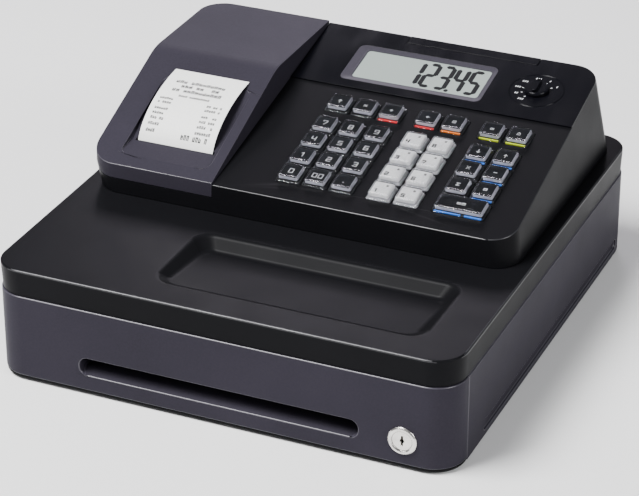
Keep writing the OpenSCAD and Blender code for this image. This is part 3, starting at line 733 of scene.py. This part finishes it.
def key_pieces(node):
    """Cap and label of one key, over the space that its CAD node holds."""
    low, high = slope_box(node)
    middle = ((low.x + high.x) / 2, (low.y + high.y) / 2)
    skirt = Vector((high.x - low.x, high.y - low.y)) - Vector((2, 2)) * CAP_INSET
    key_cap(node, middle, skirt, high.z)
    key_label(node, middle, skirt)


for key_node in NODE_BODY:
    if key_node.startswith("key_") and key_node != "key_mat":
        key_pieces(key_node)

# ---- Operator's and customer's displays ----

FIGURES = "12345"
POINT_AFTER = 3            # how many figures stand before the decimal point
# Segments of each figure, and the ends of each segment on a grid 1 wide and 2 high
SEGMENTS = {"1": "bc", "2": "abged", "3": "abgcd", "4": "fgbc", "5": "afgcd"}
SEGMENT_ENDS = {
    "a": ((0, 2), (1, 2)), "g": ((0, 1), (1, 1)), "d": ((0, 0), (1, 0)),
    "f": ((0, 1), (0, 2)), "b": ((1, 1), (1, 2)), "e": ((0, 0), (0, 1)), "c": ((1, 0), (1, 1)),
}


def draw_figures(work, right, foot, digit, pitch, thick, level, material_index=0):
    """Row of figures made of seven segments with pointed ends, and a decimal point."""
    gap = 0.15 * MM
    half = digit.y / 2
    for i, figure in enumerate(FIGURES):
        origin = Vector((right - digit.x - (len(FIGURES) - 1 - i) * pitch, foot))
        for name in SEGMENTS[figure]:
            (x0, y0), (x1, y1) = SEGMENT_ENDS[name]
            a = origin + Vector((x0 * digit.x, y0 * half))
            b = origin + Vector((x1 * digit.x, y1 * half))
            along = (b - a).normalized()
            side = Vector((-along.y, along.x)) * thick / 2
            a += along * gap
            b -= along * gap
            tip = along * thick * 0.4
            outline = [a, a + tip - side, b - tip - side, b, b - tip + side, a + tip + side]
            plate(work, [tuple(p) for p in outline], level - SINK, level, material_index)
    figures_after = len(FIGURES) - POINT_AFTER
    point_size = 0.91 * thick
    point = (right - figures_after * pitch + 0.74 * thick, foot - 0.26 * thick)
    dot = rounded_ring(point_size, point_size, 0.47 * point_size, point)
    plate(work, dot, level - SINK, level, material_index)


def operator_figures():
    """Dark figures on the operator's cell."""
    low, high = slope_box("lcd_module")
    right, foot = high.x - 6.3 * MM, low.y + 5.6 * MM
    digit = Vector((7.1, 26.6)) * MM
    work = bmesh.new()
    draw_figures(work, right, foot, digit, pitch=11.1 * MM, thick=3.5 * MM, level=high.z + FILM)
    mesh = finish_mesh(work, "display_figures", to_world=SLOPE)
    add_piece("display_figures", mesh, "lcd_module", [INK["lcd"]])


def customer_figures():
    """Cell and figures in the window of the customer's display, which faces backwards."""
    low, high = slope_box("rear_display")
    window_drop = 16.5 * MM
    behind = Vector(((low.x + high.x) / 2, 1, high.z - window_drop))
    forwards = Vector((0, -1, 0))
    window = node_surface("rear_display", TO_SLOPE).ray_cast(behind, forwards)[0]
    from_behind = Matrix((
        (-1, 0, 0, window.x),
        (0, 0, 1, window.y),
        (0, 1, 0, window.z),
        (0, 0, 0, 1),
    ))
    width, height = high.x - low.x - 28 * MM, 15 * MM
    face = 0.4 * MM
    digit = Vector((4.6, 10)) * MM
    pitch = 7.2 * MM
    right = ((len(FIGURES) - 1) * pitch + digit.x) / 2
    work = bmesh.new()
    plate(work, rounded_ring(width, height, 1 * MM), 0.02 * MM, face)
    draw_figures(work, right, -digit.y / 2, digit, pitch, thick=1.5 * MM, level=face + FILM,
                 material_index=1)
    mesh = finish_mesh(work, "customer_figures", to_world=SLOPE @ from_behind)
    add_piece("customer_figures", mesh, "rear_display",
              [MATERIALS["lcd_cell"], INK["lcd"]])


def display_frame():
    """Grey frame that slopes down from the panel to the cell."""
    low, high = slope_box("lcd_module")
    outer = ((low.x - 6.2 * MM, high.x + 2.4 * MM), (low.y - 4 * MM, high.y + 3 * MM))
    inner = ((low.x + 1 * MM, high.x - 1 * MM), (low.y + 1 * MM, high.y - 1 * MM))
    panel = slope_box("display_panel")[1].z
    cell = high.z
    seat = panel - 0.85 * MM
    # Each ring's rectangle, its inset and corner radius in millimetres, and its height
    levels = [
        (outer, 0.05, 5, seat),
        (outer, 0.05, 5, panel - 0.2 * MM),
        (outer, 0.25, 4.75, panel),
        (outer, 0.8, 4.3, panel - 0.05 * MM),
        (inner, 0.5, 2.6, cell + 0.3 * MM),
        (inner, 0.5, 2.6, cell + FILM),
        (inner, 0.05, 3, cell + FILM),
        (inner, 0.05, 3, seat),
    ]
    work = bmesh.new()
    rings = []
    for (xs, ys), inset, radius, level in levels:
        ring = rounded_ring(xs[1] - xs[0] - 2 * inset * MM, ys[1] - ys[0] - 2 * inset * MM,
                            radius * MM, (sum(xs) / 2, sum(ys) / 2), 8)
        rings.append([(x, y, level) for x, y in ring])
    loft(work, rings, endless=True)
    mesh = finish_mesh(work, "display_frame", sharp=25, to_world=SLOPE)
    add_piece("display_frame", mesh, "display_panel", [INK["frame"]])


operator_figures()
customer_figures()
display_frame()

# ---- Mode dial's marks ----

# Angle in degrees of each of the dial's positions, and how many bars its word has
DIAL_WORDS = ((34, 1), (69, 1), (104, 3), (143, 3), (175, 3), (205, 2), (237, 3))
# Distances from the dial's centre, in millimetres
TICK_ENDS = (10.2, 11.0)
WORD_RADIUS = 14.6


def dial_marks():
    """White dots and short words of bars round the dial, one for each position."""
    level = slope_box("display_panel")[1].z
    low, high = level - SINK, level + FILM
    centre = Vector((DIAL_CENTRE.x, 0))
    tick_width = 0.5 * MM
    bar_width = 0.55 * MM
    bar_pitch = 1.5 * MM
    bar_lean = 0.35 * MM
    half_bar = 0.55 * MM
    work = bmesh.new()
    for angle, bars in DIAL_WORDS:
        a = math.radians(angle)
        out = Vector((math.cos(a), math.sin(a)))
        tick = [tuple(centre + out * radius * MM) for radius in TICK_ENDS]
        stroke(work, tick, tick_width, low, high)
        word = centre + out * WORD_RADIUS * MM
        for i in range(bars):
            x = word.x + (i - (bars - 1) / 2) * bar_pitch
            bar = [(x, word.y - half_bar), (x + bar_lean, word.y + half_bar)]
            stroke(work, bar, bar_width, low, high)
    mesh = finish_mesh(work, "dial_marks", to_world=SLOPE)
    add_piece("dial_marks", mesh, "display_panel", [INK["white"]])


dial_marks()

# ---- Print on the receipt ----

PRINT_LIFT = 0.08 * MM     # how far the print stands off the paper, and sinks into it
BLANK_CHANCE = 0.14        # how often a letter's place is left blank


def receipt_print():
    """Rows of generic print that lie on the curved paper."""
    surface = node_surface("receipt")
    low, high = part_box("receipt")
    left, right = low.x + 4 * MM, high.x - 4 * MM
    top, foot = high.y - 8.5 * MM, low.y + 1.2 * MM
    width = right - left
    large, medium, small = 3.1 * MM, 2.4 * MM, 1.8 * MM
    dice = random.Random(7)
    work = bmesh.new()

    def mark(x0, x1, y0, y1):
        """Small rectangle that follows the paper."""
        corners = []
        for x, y in ((x0, y0), (x1, y0), (x1, y1), (x0, y1)):
            hit, normal = surface.ray_cast(Vector((x, y, 1)), Vector((0, 0, -1)))[:2]
            if hit is None:
                return
            corners.append(hit)
        lift = normal * PRINT_LIFT
        loft(work, [[c - lift for c in corners], [c + lift for c in corners]])

    def letter(x, y, height, step):
        """Two upright strokes and a cross bar at one of three heights."""
        for stem in (x, x + step * 0.46):
            mark(stem, stem + step * 0.3, y, y + height * dice.uniform(0.7, 1))
        bar = y + height * dice.choice((0, 0.4, 0.75))
        mark(x, x + step * 0.76, bar, bar + height * 0.25)

    def row(share, start, end, height):
        """Row of letters, at a share of the way down the paper."""
        y = top + (foot - top) * share
        step = height * 0.95
        x = start
        while x < end - step:
            if dice.random() > BLANK_CHANCE:
                letter(x, y, height, step)
            x += step

    for share, inset in ((0.15, 0.08), (0.24, 0.2), (0.33, 0.1)):
        row(share, left + width * inset, right - width * inset, large)
    row(0.42, left + width * 0.25, right - width * 0.25, small)
    for share in (0.5, 0.57, 0.67, 0.74, 0.81, 0.88):
        row(share, left, left + width * 0.24, small)
        row(share + 0.02, right - width * 0.26, right, small)
    row(0.95, left, left + width * 0.14, small)
    row(0.97, right - width * 0.45, right, medium)
    mesh = finish_mesh(work, "receipt_print")
    add_piece("receipt_print", mesh, "receipt", [INK["print"]])


receipt_print()

# ---- Floor, light and camera ----

MIDDLE = Vector((0, 0, cad_box[1][2] / 2))


def floor():
    """Plain pale floor, very slightly uneven in tone."""
    bpy.ops.mesh.primitive_plane_add(size=12)
    plane = bpy.context.object
    plane.name = "floor"
    material, tree, shader = start_material("floor", (0.86, 0.86, 0.86), 0.6)
    clouds = noise(tree, 3, detail=4)
    tree.links.new(mottled(tree, clouds, (1, 1, 1), 0.85, 0.88), shader.inputs["Base Color"])
    plane.data.materials.append(material)


def surroundings():
    """Weak, even and slightly cool light from all sides."""
    world = bpy.data.worlds.new("studio")
    world.use_nodes = True
    background = world.node_tree.nodes["Background"]
    background.inputs["Color"].default_value = (0.95, 0.96, 1, 1)
    background.inputs["Strength"].default_value = 0.25
    bpy.context.scene.world = world


def soft_light(name, place, size, power, colour=(1, 1, 1)):
    """Square softbox that faces the register, with its place and size in metres."""
    light = bpy.data.lights.new(name, "AREA")
    light.size = size
    light.energy = power
    light.color = colour
    lamp = bpy.data.objects.new(name, light)
    bpy.context.collection.objects.link(lamp)
    lamp.location = place
    lamp.rotation_euler = (Vector(place) - MIDDLE).to_track_quat("Z", "Y").to_euler()


def camera(azimuth, elevation, distance, lens, aim):
    """Camera that looks at a point from a bearing to the right of the front and a height."""
    a, e = math.radians(azimuth), math.radians(elevation)
    back = Vector((math.sin(a) * math.cos(e), -math.cos(a) * math.cos(e), math.sin(e)))
    data = bpy.data.cameras.new("camera")
    data.lens = lens
    data.sensor_width = 36
    eye = bpy.data.objects.new("camera", data)
    bpy.context.collection.objects.link(eye)
    eye.location = aim + back * distance
    eye.rotation_euler = back.to_track_quat("Z", "Y").to_euler()
    bpy.context.scene.camera = eye


surroundings()
floor()
soft_light("top_light", place=(-1.0, -0.95, 2.45), size=1.2, power=190)
soft_light("left_light", place=(-1.6, -2.5, 1.4), size=1.2, power=11)
soft_light("right_light", place=(2.6, -0.9, 1.6), size=1.2, power=60)
soft_light("back_light", place=(-0.9, 2.1, 1.4), size=0.7, power=11, colour=(1, 0.92, 1.06))
camera(azimuth=23.61, elevation=28.12, distance=1.8155, lens=147.1,
       aim=Vector((-1.2, -5.8, 47.6)) * MM)
